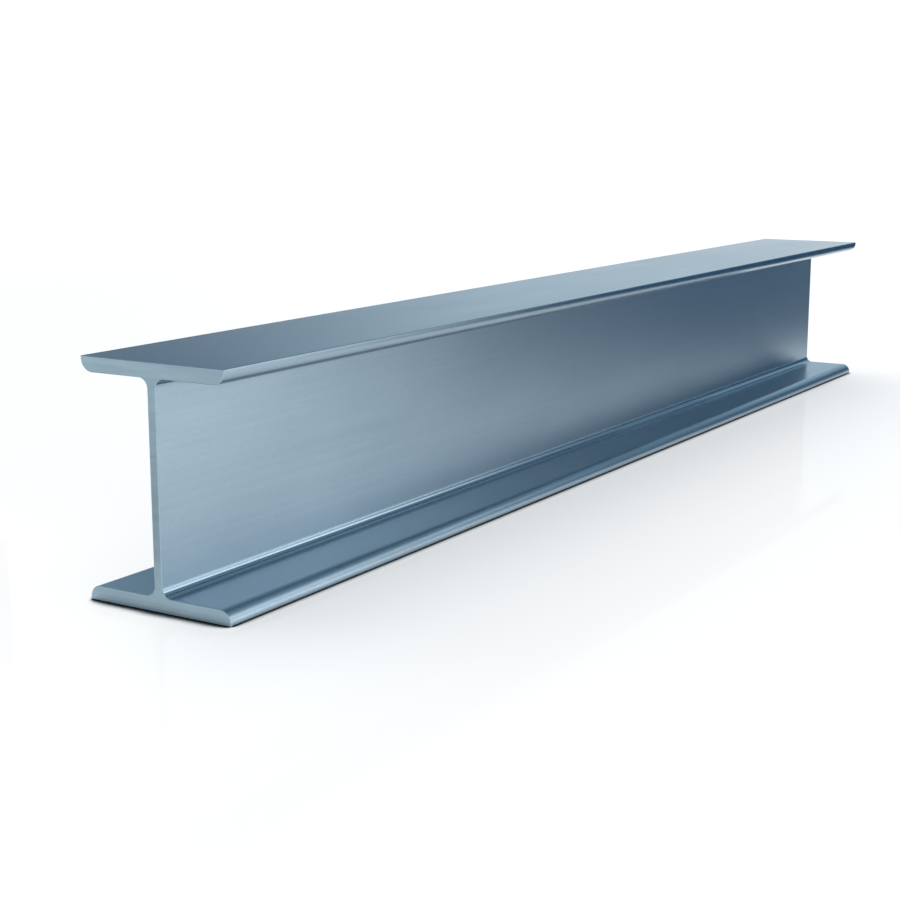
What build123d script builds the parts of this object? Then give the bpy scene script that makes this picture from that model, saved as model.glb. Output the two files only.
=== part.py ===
"""Hot-rolled steel I-beam: parallel flanges, filleted web roots and rounded flange toes,
sawn square at both ends.

The beam lies along X on its lower flange. The origin is at the middle of its underside,
Y runs across the flanges and Z is up.
"""

import os

from build123d import *

# Driving dimensions of the beam, in millimetres
BEAM_LENGTH = 3000.0
SECTION_DEPTH = 400.0
FLANGE_WIDTH = 290.0
FLANGE_THICKNESS = 25.5
WEB_THICKNESS = 16.0

# Fillet between the web and each flange
ROOT_RADIUS = 17.0

# Edge of each flange: a small round at the outer corner, a narrow flat, then the toe's large round,
# which takes the rest of the flange's thickness and runs into its inner face
CORNER_RADIUS = 1.5
EDGE_FLAT = 2.0
TOE_RADIUS = FLANGE_THICKNESS - CORNER_RADIUS - EDGE_FLAT

# Chamfer filed round each sawn end to take off the burr
END_CHAMFER = 1.0

# Places on the section, across from the web's middle and up from the underside
WEB_FACE = WEB_THICKNESS / 2
FLANGE_EDGE = FLANGE_WIDTH / 2
LOWER_INNER_FACE = FLANGE_THICKNESS
UPPER_INNER_FACE = SECTION_DEPTH - FLANGE_THICKNESS

# Corners of the section down one side, from the top face to the underside, and the radius of each
SIDE_CORNERS = [
    (FLANGE_EDGE, SECTION_DEPTH),
    (FLANGE_EDGE, UPPER_INNER_FACE),
    (WEB_FACE, UPPER_INNER_FACE),
    (WEB_FACE, LOWER_INNER_FACE),
    (FLANGE_EDGE, LOWER_INNER_FACE),
    (FLANGE_EDGE, 0),
]
SIDE_RADII = [CORNER_RADIUS, TOE_RADIUS, ROOT_RADIUS, ROOT_RADIUS, TOE_RADIUS, CORNER_RADIUS]

# The other side is the same, seen in a mirror, and is followed back up to the top face
OTHER_SIDE_CORNERS = [(-across, up) for across, up in reversed(SIDE_CORNERS)]


with BuildPart() as i_beam:
    # The rolled section, drawn across the beam at the middle of its length
    with BuildSketch(Plane.YZ):
        with BuildLine():
            FilletPolyline(*SIDE_CORNERS, *OTHER_SIDE_CORNERS, radius=SIDE_RADII * 2, close=True)
        make_face()
    extrude(amount=BEAM_LENGTH / 2, both=True)

    # The sawn ends, with the burr taken off all round
    sawn_ends = i_beam.faces().filter_by(Axis.X)
    chamfer(sawn_ends.edges(), length=END_CHAMFER)

i_beam.part.label = "i_beam"

os.makedirs("parts", exist_ok=True)
export_step(i_beam.part, "parts/i_beam.step")
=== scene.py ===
"""A hot-rolled steel I-beam lying on a pale studio floor.

The beam lies along X, with its near end at -X and its front at -Y. Directions are given by azimuth,
from +X towards +Y, and by elevation.
"""

import math

import bpy
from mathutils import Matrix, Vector


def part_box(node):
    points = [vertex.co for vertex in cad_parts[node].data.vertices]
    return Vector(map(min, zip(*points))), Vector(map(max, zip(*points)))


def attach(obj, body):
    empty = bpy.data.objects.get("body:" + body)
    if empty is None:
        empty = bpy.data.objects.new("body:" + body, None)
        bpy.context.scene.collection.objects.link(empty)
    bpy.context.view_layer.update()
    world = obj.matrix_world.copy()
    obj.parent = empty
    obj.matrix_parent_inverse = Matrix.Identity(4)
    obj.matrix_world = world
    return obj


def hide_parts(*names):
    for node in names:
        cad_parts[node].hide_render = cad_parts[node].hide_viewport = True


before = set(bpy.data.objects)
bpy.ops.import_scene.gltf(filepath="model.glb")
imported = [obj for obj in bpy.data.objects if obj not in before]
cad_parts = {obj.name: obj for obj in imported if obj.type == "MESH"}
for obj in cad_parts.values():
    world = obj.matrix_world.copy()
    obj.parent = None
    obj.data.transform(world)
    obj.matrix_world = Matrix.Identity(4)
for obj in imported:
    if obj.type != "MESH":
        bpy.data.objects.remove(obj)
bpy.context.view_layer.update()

# Sizes of the rolled section, in metres. Length, width and depth come from the frame.
LOW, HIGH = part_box("i_beam")
WIDTH = HIGH.y - LOW.y
DEPTH = HIGH.z - LOW.z
FLANGE = 0.0255
WEB = 0.016
ROOT_RADIUS = 0.017
CORNER_RADIUS = 0.0015
EDGE_FLAT = 0.002
TOE_RADIUS = FLANGE - CORNER_RADIUS - EDGE_FLAT
END_CHAMFER = 0.001

# Steps in each quarter round of the section
CORNER_STEPS = 5
TOE_STEPS = 18
ROOT_STEPS = 18

# How burnished the middle of each round is, where the flats are 0. The toes are rougher than the flats.
BURNISH_NAME = "burnish"
CORNER_BURNISH = 1.0
ROOT_BURNISH = 1.0
TOE_BURNISH = -0.4

# The beam's materials, by their place on the mesh
ROLLED = 0
SAWN = 1

# Unfolded surface for the texture map: the side that the map's square stands for, in metres, then where
# the middle and the foot of each sawn end lie on it and how much larger they are there
UV_NAME = "OFBake"
UNFOLDED = 3.05
END_MIDDLE = {-1: 0.5, 1: 1.5}
END_FOOT = 2.0
END_SCALE = 2.4

# Steel: colours as linear light, from the darkest to the lightest of its mottling, and the tones at which
# they are reached
ROLLED_DARK = (0.295, 0.392, 0.468)
ROLLED_LIGHT = (0.365, 0.475, 0.560)
SAWN_DARK = (0.340, 0.460, 0.530)
SAWN_LIGHT = (0.425, 0.560, 0.635)
TONE_DARK = 0.3
TONE_LIGHT = 0.7

# Noise in the steel: lumps to the metre along X, Y and Z, the layers of detail and the share of the finer
STREAKS = ((1.4, 110, 110), 4, 0.6)
MOTTLING = ((2.5, 8, 8), 3, 0.5)
SCALE = ((160, 220, 220), 2, 0.5)
SAW_LINES = ((1, 9, 420), 4, 0.6)
SAW_BANDS = ((1, 3, 55), 2, 0.5)

# How much each noise weighs in the tone, and how much lighter burnished steel is
STREAKS_TONE = 0.30
MOTTLING_TONE = 0.45
SCALE_TONE = 0.25
SAW_LINES_TONE = 0.6
SAW_BANDS_TONE = 0.4
BURNISH_TONE = 0.08

# How much each noise weighs in the relief of the rolled skin, and how deep both reliefs are, in metres
STREAKS_RELIEF = 0.7
SCALE_RELIEF = 0.3
ROLLED_RELIEF = 0.00002
SAWN_RELIEF = 0.00004

# Roughness at a middling tone, how far it swings with the tone, and how much smoother the skin is on the
# flanges and where it is burnished. The grain runs along the beam and along the saw lines.
ROLLED_ROUGHNESS = 0.30
ROLLED_SWING = 0.10
FLANGE_SMOOTHER = 0.11
BURNISH_SMOOTHER = 0.14
SAWN_ROUGHNESS = 0.36
SAWN_SWING = 0.12
GRAIN = 0.9
QUARTER_TURN = 0.25

# Camera: place, the direction back to it from what it looks at, and lens, found from the beam's edges in
# a picture 900 pixels square
CAMERA_PLACE = Vector((-3.3564, -1.6772, 0.7640))
CAMERA_AZIMUTH = math.radians(-148.5)
CAMERA_ELEVATION = math.radians(11.52)
CAMERA_LENS = 64.8
CAMERA_SENSOR = 36.0
CAMERA_SIGHT = 200.0

# Floor: half of its side, how white it is, the share of the white that is its own glow and not lit, then
# the share that mirrors and how rough the mirror is
FLOOR_REACH = 60.0
FLOOR_WHITE = 0.97
FLOOR_GLOW = 0.56
FLOOR_MIRROR = 0.13
FLOOR_ROUGHNESS = 0.06

# Painted contact shadow: a dark line on the floor where the beam touches it, darkening the floor's glow
# and
# colour: how far off steel still counts, in metres, then the share of open sky at which the floor is black
# and at which it is clear
CONTACT_SHADE_REACH = 0.05
CONTACT_SHADE_BLACK = 0.66
CONTACT_SHADE_CLEAR = 0.85

# Key light: a wide, soft and slightly warm sun
SUN_STRENGTH = 2.15
SUN_COLOUR = (1.0, 0.955, 0.91)
SUN_WIDTH = math.radians(65)
SUN_AZIMUTH = math.radians(70)
SUN_ELEVATION = math.radians(50)

# Fill light, even from all round
FILL_STRENGTH = 0.87
FILL_COLOUR = (0.93, 0.99, 1.03)

# Studio dome: its own colour, then soft panels on it, each over those before it. A panel has a colour and,
# in degrees of azimuth and of elevation, where it starts, where it is full, where it begins to fade and
# where it ends.
WHITE = (1.00, 1.00, 1.00)
ALL_ROUND = (-181, -180, 180, 181)
IN_FRONT = (-78, -62, -42, -28)
LOW_RING = (-8, -4, 3.4, 4.2)
TALL_RING = (-8, -4, 11, 15)
DOME_COLOUR = (0.02, 0.09, 0.16)
DOME_PANELS = [
    # Ceiling, with a darker part above the far end
    ((0.20, 0.32, 0.42), ALL_ROUND, (12, 18, 91, 92)),
    ((0.05, 0.13, 0.22), (-15, 0, 35, 50), (28, 34, 55, 65)),
    # Bluish walls beyond the far end, behind the beam and behind the camera
    ((0.45, 0.60, 0.70), (-10, 0, 26, 46), (-8, -2, 25, 32)),
    ((0.70, 0.82, 0.92), (38, 50, 90, 120), (12, 15, 26, 32)),
    ((0.70, 0.82, 0.92), (-178, -160, -75, -60), (-2, 2, 60, 80)),
    # White backdrop, taller round the near end, and grey in front of the far end
    (WHITE, (80, 110, 180, 181), TALL_RING),
    (WHITE, (-181, -180, -75, -60), TALL_RING),
    ((0.48, 0.53, 0.58), (-34, -26, -8, 0), LOW_RING),
    (WHITE, (-10, -6, 180, 181), LOW_RING),
    (WHITE, (-181, -180, -28, -24), LOW_RING),
    (WHITE, (0, 8, 55, 65), (-8, -4, 4.1, 5.0)),
    # Soft box in front of the beam, with a strip lamp across it and a low lamp under it
    ((0.90, 0.95, 1.00), IN_FRONT, (2, 6, 60, 80)),
    ((2.20, 2.20, 2.20), (-78, -62, -33, -18), (16, 22, 24, 29)),
    ((2.70, 2.70, 2.70), IN_FRONT, (-4, -1, 4, 7)),
]

# Painted shade for reflections: dark glowing sheets on the floor outside the frame, hidden from the
# camera, which the far end of the web and the foot of the near end mirror: corners, colour, then the
# direction in which a sheet thickens, from where to where
REFLECTION_SHADES = {
    "right_reflection_shade": (
        [(-2.4, -15.0), (30.0, -15.0), (30.0, -0.25), (1.9, -0.20), (-2.4, -1.42)],
        (0.03, 0.10, 0.18), (0.50, 0.866), (-1.3, -0.1),
    ),
    "left_reflection_shade": (
        [(-1.68, 0.135), (-1.30, 0.55), (-2.60, 1.60), (-2.90, 0.60), (-1.80, 0.01)],
        (0.10, 0.14, 0.19), (0.64, -0.77), (-2.10, -1.25),
    ),
}
REFLECTION_SHADE_HEIGHT = 0.001

# Sockets of a Mix node that mixes colours
MIX_WEIGHT = 0
MIX_UNDER = 6
MIX_OVER = 7
MIX_RESULT = 2


def add_object(name, data):
    """A new object in the scene."""
    thing = bpy.data.objects.new(name, data)
    bpy.context.scene.collection.objects.link(thing)
    return thing


def direction(azimuth, elevation):
    """The unit vector that points there."""
    level = math.cos(elevation)
    return Vector((math.cos(azimuth) * level, math.sin(azimuth) * level, math.sin(elevation)))


def round_corner(before, corner, after, radius, steps, burnish):
    """Points, outward normals and burnish of a quarter round, walking with the steel on the right."""
    inward = (corner - before).normalized()
    outward = (after - corner).normalized()
    bulges = inward.x * outward.y - inward.y * outward.x < 0
    start = corner - inward * radius
    end = corner + outward * radius
    centre = start + end - corner
    side = 1 if bulges else -1
    found = []
    for step in range(steps + 1):
        turn = math.pi / 2 * step / steps
        spoke = (start - centre) * math.cos(turn) + (end - centre) * math.sin(turn)
        found.append((centre + spoke, side * spoke.normalized(), burnish * math.sin(2 * turn)))
    return found


def section(inset):
    """The section's outline, drawn in by inset, as points across and up with their normals and burnish."""
    edge = WIDTH / 2 - inset
    web = WEB / 2 - inset
    top = DEPTH - inset
    upper = DEPTH - FLANGE + inset
    lower = FLANGE - inset
    foot = inset
    corner = (CORNER_RADIUS - inset, CORNER_STEPS, CORNER_BURNISH)
    toe = (TOE_RADIUS - inset, TOE_STEPS, TOE_BURNISH)
    root = (ROOT_RADIUS + inset, ROOT_STEPS, ROOT_BURNISH)
    side = [
        ((edge, top), corner),
        ((edge, upper), toe),
        ((web, upper), root),
        ((web, lower), root),
        ((edge, lower), toe),
        ((edge, foot), corner),
    ]
    other_side = [((-across, up), rounding) for (across, up), rounding in reversed(side)]
    outline = [(Vector(place), rounding) for place, rounding in side + other_side]
    found = []
    for i, (place, rounding) in enumerate(outline):
        before = outline[i - 1][0]
        after = outline[(i + 1) % len(outline)][0]
        found += round_corner(before, place, after, *rounding)
    return found


def walked(outline):
    """How far round the outline each point is, and at the end the whole way round."""
    found = [0.0]
    for i, (point, _, _) in enumerate(outline):
        after = outline[(i + 1) % len(outline)][0]
        found.append(found[-1] + (after - point).length)
    return found


def end_place(point, side):
    """Where a point of a sawn end lies on the unfolded surface."""
    across = END_MIDDLE[side] + side * point.x * END_SCALE
    return across / UNFOLDED, (END_FOOT + point.y * END_SCALE) / UNFOLDED


def side_faces(stations):
    """The near chamfer, the rolled sides and the far chamfer: for each face its corners, their normals and
    places on the map, and its material."""
    outline = stations[1][1]
    count = len(outline)
    round_it = [distance / UNFOLDED for distance in walked(outline)]
    found = []
    for ring, leans in enumerate((-1, 0, 1)):
        near = ring * count
        far = near + count
        start = (stations[ring][0] - LOW.x) / UNFOLDED
        end = (stations[ring + 1][0] - LOW.x) / UNFOLDED
        for i in range(count):
            j = (i + 1) % count
            corners = (near + j, near + i, far + i, far + j)
            normals = [Vector((leans, *outline[k][1])).normalized() for k in (j, i, i, j)]
            here, there = round_it[i], round_it[i + 1]
            places = [(start, there), (start, here), (end, here), (end, there)]
            found.append((corners, normals, places, SAWN if leans else ROLLED))
    return found


def end_faces(stations):
    """The two sawn ends, given in the same way as the sides."""
    found = []
    for side, station in ((-1, 0), (1, len(stations) - 1)):
        outline = stations[station][1]
        count = len(outline)
        order = list(range(count))[::-side]
        corners = tuple(station * count + k for k in order)
        normals = [Vector((side, 0, 0))] * count
        places = [end_place(outline[k][0], side) for k in order]
        found.append((corners, normals, places, SAWN))
    return found


def build_beam(materials):
    """The beam as one closed mesh: the rolled sides, the chamfers and the two sawn ends."""
    full = section(0)
    drawn_in = section(END_CHAMFER)
    stations = [
        (LOW.x, drawn_in),
        (LOW.x + END_CHAMFER, full),
        (HIGH.x - END_CHAMFER, full),
        (HIGH.x, drawn_in),
    ]
    points = [(x, point.x, point.y) for x, outline in stations for point, _, _ in outline]
    faces = side_faces(stations) + end_faces(stations)

    mesh = bpy.data.meshes.new("rolled_i_beam")
    mesh.from_pydata(points, [], [corners for corners, _, _, _ in faces])
    for material in materials:
        mesh.materials.append(material)
    mesh.polygons.foreach_set("material_index", [slot for _, _, _, slot in faces])
    mesh.polygons.foreach_set("use_smooth", [True] * len(faces))
    layer = mesh.uv_layers.new(name=UV_NAME)
    unfolded = [place for _, _, places, _ in faces for place in places]
    for corner, place in zip(layer.data, unfolded):
        corner.uv = place
    burnish = mesh.attributes.new(BURNISH_NAME, "FLOAT", "POINT")
    burnish.data.foreach_set("value", [shine for _, outline in stations for _, _, shine in outline])
    mesh.normals_split_custom_set([normal for _, normals, _, _ in faces for normal in normals])
    mesh.validate()
    return add_object("rolled_i_beam", mesh)


def maths(tree, operation, *values):
    """A maths node. Each value is a number or another node's output."""
    node = tree.nodes.new("ShaderNodeMath")
    node.operation = operation
    for socket, value in zip(node.inputs, values):
        if isinstance(value, (int, float)):
            socket.default_value = value
        else:
            tree.links.new(value, socket)
    return node.outputs[0]


def smooth_step(tree, value, start, end):
    """0 before start and 1 after end, with a smooth rise between them."""
    node = tree.nodes.new("ShaderNodeMapRange")
    node.interpolation_type = "SMOOTHSTEP"
    tree.links.new(value, node.inputs["Value"])
    node.inputs["From Min"].default_value = start
    node.inputs["From Max"].default_value = end
    return node.outputs["Result"]


def axes(tree, coordinates):
    """X, Y and Z of a place on an object, or of a direction in the world."""
    where = tree.nodes.new("ShaderNodeTexCoord")
    split = tree.nodes.new("ShaderNodeSeparateXYZ")
    tree.links.new(where.outputs[coordinates], split.inputs[0])
    return split.outputs


def noise(tree, per_metre, detail, share):
    """Noise from 0 to 1 with its own number of lumps to the metre along X, Y and Z."""
    where = tree.nodes.new("ShaderNodeTexCoord")
    scaled = tree.nodes.new("ShaderNodeMapping")
    scaled.inputs["Scale"].default_value = per_metre
    tree.links.new(where.outputs["Object"], scaled.inputs["Vector"])
    node = tree.nodes.new("ShaderNodeTexNoise")
    node.inputs["Scale"].default_value = 1
    node.inputs["Detail"].default_value = detail
    node.inputs["Roughness"].default_value = share
    tree.links.new(scaled.outputs["Vector"], node.inputs["Vector"])
    return node.outputs["Fac"]


def blend(tree, *layers):
    """The layers added up, each with its weight."""
    total = 0
    for layer, weight in layers:
        total = maths(tree, "MULTIPLY_ADD", layer, weight, total)
    return total


def ramp_colour(tree, tone, dark, light):
    """Dark where the tone is low and light where it is high."""
    node = tree.nodes.new("ShaderNodeValToRGB")
    node.color_ramp.elements[0].position = TONE_DARK
    node.color_ramp.elements[0].color = (*dark, 1)
    node.color_ramp.elements[1].position = TONE_LIGHT
    node.color_ramp.elements[1].color = (*light, 1)
    tree.links.new(tone, node.inputs["Fac"])
    return node.outputs["Color"]


def grained_metal(material, height, depth):
    """Bare metal whose grain follows the texture map, with fine relief from a height."""
    tree = material.node_tree
    shader = tree.nodes["Principled BSDF"]
    shader.inputs["Metallic"].default_value = 1
    shader.inputs["Anisotropic"].default_value = GRAIN
    shader.inputs["Anisotropic Rotation"].default_value = QUARTER_TURN
    grain = tree.nodes.new("ShaderNodeTangent")
    grain.direction_type = "UV_MAP"
    grain.uv_map = UV_NAME
    tree.links.new(grain.outputs["Tangent"], shader.inputs["Tangent"])
    relief = tree.nodes.new("ShaderNodeBump")
    relief.inputs["Distance"].default_value = depth
    tree.links.new(height, relief.inputs["Height"])
    tree.links.new(relief.outputs["Normal"], shader.inputs["Normal"])
    return shader


def on_flange(tree):
    """0 on the web and 1 on the flanges, with a smooth rise over the root fillets."""
    height = axes(tree, "Object")["Z"]
    from_middle = maths(tree, "ABSOLUTE", maths(tree, "SUBTRACT", height, DEPTH / 2))
    inner_face = DEPTH / 2 - FLANGE
    return smooth_step(tree, from_middle, inner_face - ROOT_RADIUS, inner_face)


def rolled_steel():
    """Hot-rolled skin: faint streaks from the rolls, soft mottling, fine scale, burnished rounds."""
    material = bpy.data.materials.new("rolled_steel")
    material.use_nodes = True
    tree = material.node_tree
    streaks = noise(tree, *STREAKS)
    mottling = noise(tree, *MOTTLING)
    scale = noise(tree, *SCALE)
    attribute = tree.nodes.new("ShaderNodeAttribute")
    attribute.attribute_name = BURNISH_NAME
    burnish = attribute.outputs["Fac"]

    height = blend(tree, (streaks, STREAKS_RELIEF), (scale, SCALE_RELIEF))
    shader = grained_metal(material, height, ROLLED_RELIEF)
    tone = blend(tree, (streaks, STREAKS_TONE), (mottling, MOTTLING_TONE), (scale, SCALE_TONE))
    worn = blend(tree, (tone, 1.0), (burnish, BURNISH_TONE))
    tree.links.new(ramp_colour(tree, worn, ROLLED_DARK, ROLLED_LIGHT), shader.inputs["Base Color"])
    rough = ROLLED_ROUGHNESS + ROLLED_SWING / 2
    rough = maths(tree, "MULTIPLY_ADD", burnish, -BURNISH_SMOOTHER, rough)
    rough = maths(tree, "MULTIPLY_ADD", tone, -ROLLED_SWING, rough)
    rough = maths(tree, "MULTIPLY_ADD", on_flange(tree), -FLANGE_SMOOTHER, rough)
    tree.links.new(rough, shader.inputs["Roughness"])
    return material


def sawn_steel():
    """Cut face: fine saw lines across the section, brighter and duller by turns."""
    material = bpy.data.materials.new("sawn_steel")
    material.use_nodes = True
    tree = material.node_tree
    lines = noise(tree, *SAW_LINES)
    bands = noise(tree, *SAW_BANDS)
    tone = blend(tree, (lines, SAW_LINES_TONE), (bands, SAW_BANDS_TONE))
    shader = grained_metal(material, tone, SAWN_RELIEF)
    tree.links.new(ramp_colour(tree, tone, SAWN_DARK, SAWN_LIGHT), shader.inputs["Base Color"])
    rough = maths(tree, "MULTIPLY_ADD", tone, -SAWN_SWING, SAWN_ROUGHNESS + SAWN_SWING / 2)
    tree.links.new(rough, shader.inputs["Roughness"])
    return material


def mix_shaders(tree, share, first, second):
    """Two shaders mixed, by the share of the second."""
    node = tree.nodes.new("ShaderNodeMixShader")
    if isinstance(share, float):
        node.inputs["Fac"].default_value = share
    else:
        tree.links.new(share, node.inputs["Fac"])
    tree.links.new(first, node.inputs[1])
    tree.links.new(second, node.inputs[2])
    return node.outputs[0]


def empty_material(name):
    """A new material with only an output, its node tree and the socket for its surface."""
    material = bpy.data.materials.new(name)
    material.use_nodes = True
    tree = material.node_tree
    tree.nodes.clear()
    output = tree.nodes.new("ShaderNodeOutputMaterial")
    return material, tree, output.inputs["Surface"]


def floor_material():
    """Pale satin floor: the same to the camera and in every reflection, with the beam's cast shadow on it
    and a painted contact shadow where the beam touches it.
    """
    material, tree, surface = empty_material("pale_floor")
    lit = tree.nodes.new("ShaderNodeBsdfDiffuse")
    glow = tree.nodes.new("ShaderNodeEmission")
    sky = tree.nodes.new("ShaderNodeAmbientOcclusion")
    sky.inputs["Distance"].default_value = CONTACT_SHADE_REACH
    # Painted contact shadow: the glow and the floor's colour darken where nearby steel hides the sky
    clear = smooth_step(tree, sky.outputs["AO"], CONTACT_SHADE_BLACK, CONTACT_SHADE_CLEAR)
    tree.links.new(clear, glow.inputs["Strength"])
    tree.links.new(maths(tree, "MULTIPLY", clear, FLOOR_WHITE), lit.inputs["Color"])
    mirror = tree.nodes.new("ShaderNodeBsdfGlossy")
    mirror.inputs["Roughness"].default_value = FLOOR_ROUGHNESS
    white = mix_shaders(tree, FLOOR_GLOW, lit.outputs[0], glow.outputs[0])
    tree.links.new(mix_shaders(tree, FLOOR_MIRROR, white, mirror.outputs[0]), surface)
    return material


def reflection_shade_material(name, colour, thickens, reach):
    """Painted shade for reflections: a dark glowing sheet that thins out towards one side."""
    material, tree, surface = empty_material(name)
    place = axes(tree, "Object")
    along = maths(tree, "MULTIPLY", place["X"], thickens[0])
    along = maths(tree, "MULTIPLY_ADD", place["Y"], thickens[1], along)
    clear = tree.nodes.new("ShaderNodeBsdfTransparent")
    # The dark glow is painted shade, seen only in the beam's reflections
    painted_shade = tree.nodes.new("ShaderNodeEmission")
    painted_shade.inputs["Color"].default_value = (*colour, 1)
    cover = smooth_step(tree, along, *reach)
    tree.links.new(mix_shaders(tree, cover, clear.outputs[0], painted_shade.outputs[0]), surface)
    return material


def stage_sheet(name, corners, height, material):
    """A flat sheet of the studio, which is no part of the beam."""
    mesh = bpy.data.meshes.new(name)
    mesh.from_pydata([(x, y, height) for x, y in corners], [], [tuple(range(len(corners)))])
    mesh.materials.append(material)
    sheet = add_object(name, mesh)
    return sheet


def build_floor():
    """The floor, so wide that its edge is at the horizon."""
    reach = FLOOR_REACH
    corners = [(-reach, -reach), (reach, -reach), (reach, reach), (-reach, reach)]
    stage_sheet("floor", corners, 0, floor_material())


def build_reflection_shades():
    """The painted shade sheets darken only the beam's reflections, so that the floor stays plain from
    every side.
    """
    for name, (corners, colour, thickens, reach) in REFLECTION_SHADES.items():
        material = reflection_shade_material(name, colour, thickens, reach)
        shade_sheet = stage_sheet(name, corners, REFLECTION_SHADE_HEIGHT, material)
        shade_sheet.visible_camera = False
        shade_sheet.visible_diffuse = False
        shade_sheet.visible_shadow = False
        shade_sheet.visible_transmission = False


def window(tree, value, start, full, fades, end):
    """1 from full to fades, with a smooth rise from start and a smooth fall to end."""
    rise = smooth_step(tree, value, start, full)
    fall = smooth_step(tree, value, fades, end)
    return maths(tree, "MULTIPLY", rise, maths(tree, "SUBTRACT", 1, fall))


def lay_over(tree, under, colour, weight):
    """A colour laid over another by its weight."""
    node = tree.nodes.new("ShaderNodeMix")
    node.data_type = "RGBA"
    tree.links.new(weight, node.inputs[MIX_WEIGHT])
    tree.links.new(under, node.inputs[MIX_UNDER])
    node.inputs[MIX_OVER].default_value = (*colour, 1)
    return node.outputs[MIX_RESULT]


def studio_dome(tree):
    """The dome's colour in each direction, panel over panel."""
    towards = axes(tree, "Generated")
    azimuth = maths(tree, "DEGREES", maths(tree, "ARCTAN2", towards["Y"], towards["X"]))
    elevation = maths(tree, "DEGREES", maths(tree, "ARCSINE", towards["Z"]))
    dome = tree.nodes.new("ShaderNodeRGB").outputs[0]
    dome.default_value = (*DOME_COLOUR, 1)
    for colour, around, up in DOME_PANELS:
        weight = maths(tree, "MULTIPLY", window(tree, azimuth, *around), window(tree, elevation, *up))
        dome = lay_over(tree, dome, colour, weight)
    return dome


def build_world():
    """The dome, for the camera and for every reflection, and an even fill light for the rest."""
    world = bpy.data.worlds.new("studio")
    bpy.context.scene.world = world
    world.use_nodes = True
    tree = world.node_tree
    tree.nodes.clear()
    seen = tree.nodes.new("ShaderNodeBackground")
    tree.links.new(studio_dome(tree), seen.inputs["Color"])
    fill = tree.nodes.new("ShaderNodeBackground")
    fill.inputs["Color"].default_value = (*FILL_COLOUR, 1)
    fill.inputs["Strength"].default_value = FILL_STRENGTH
    path = tree.nodes.new("ShaderNodeLightPath")
    mirrored = maths(tree, "MAXIMUM", path.outputs["Is Glossy Ray"], path.outputs["Is Transmission Ray"])
    shows = maths(tree, "MAXIMUM", path.outputs["Is Camera Ray"], mirrored)
    output = tree.nodes.new("ShaderNodeOutputWorld")
    tree.links.new(mix_shaders(tree, shows, fill.outputs[0], seen.outputs[0]), output.inputs["Surface"])


def build_sun():
    """Broad soft key light from behind. It is for the floor, so the steel doesn't mirror it."""
    light = bpy.data.lights.new("sun", "SUN")
    light.energy = SUN_STRENGTH
    light.color = SUN_COLOUR
    light.angle = SUN_WIDTH
    sun = add_object("sun", light)
    sun.visible_glossy = False
    sun.rotation_euler = direction(SUN_AZIMUTH, SUN_ELEVATION).to_track_quat("Z", "Y").to_euler()


def build_camera():
    """The camera, set as the scene's."""
    lens = bpy.data.cameras.new("camera")
    lens.sensor_width = CAMERA_SENSOR
    lens.lens = CAMERA_LENS
    lens.clip_end = CAMERA_SIGHT
    camera = add_object("camera", lens)
    camera.location = CAMERA_PLACE
    ahead = -direction(CAMERA_AZIMUTH, CAMERA_ELEVATION)
    camera.rotation_euler = ahead.to_track_quat("-Z", "Y").to_euler()
    bpy.context.scene.camera = camera


beam = build_beam([rolled_steel(), sawn_steel()])
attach(beam, "root")
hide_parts("i_beam")

build_floor()
build_reflection_shades()
build_world()
build_sun()
build_camera()
bpy.context.scene.view_settings.view_transform = "Standard"
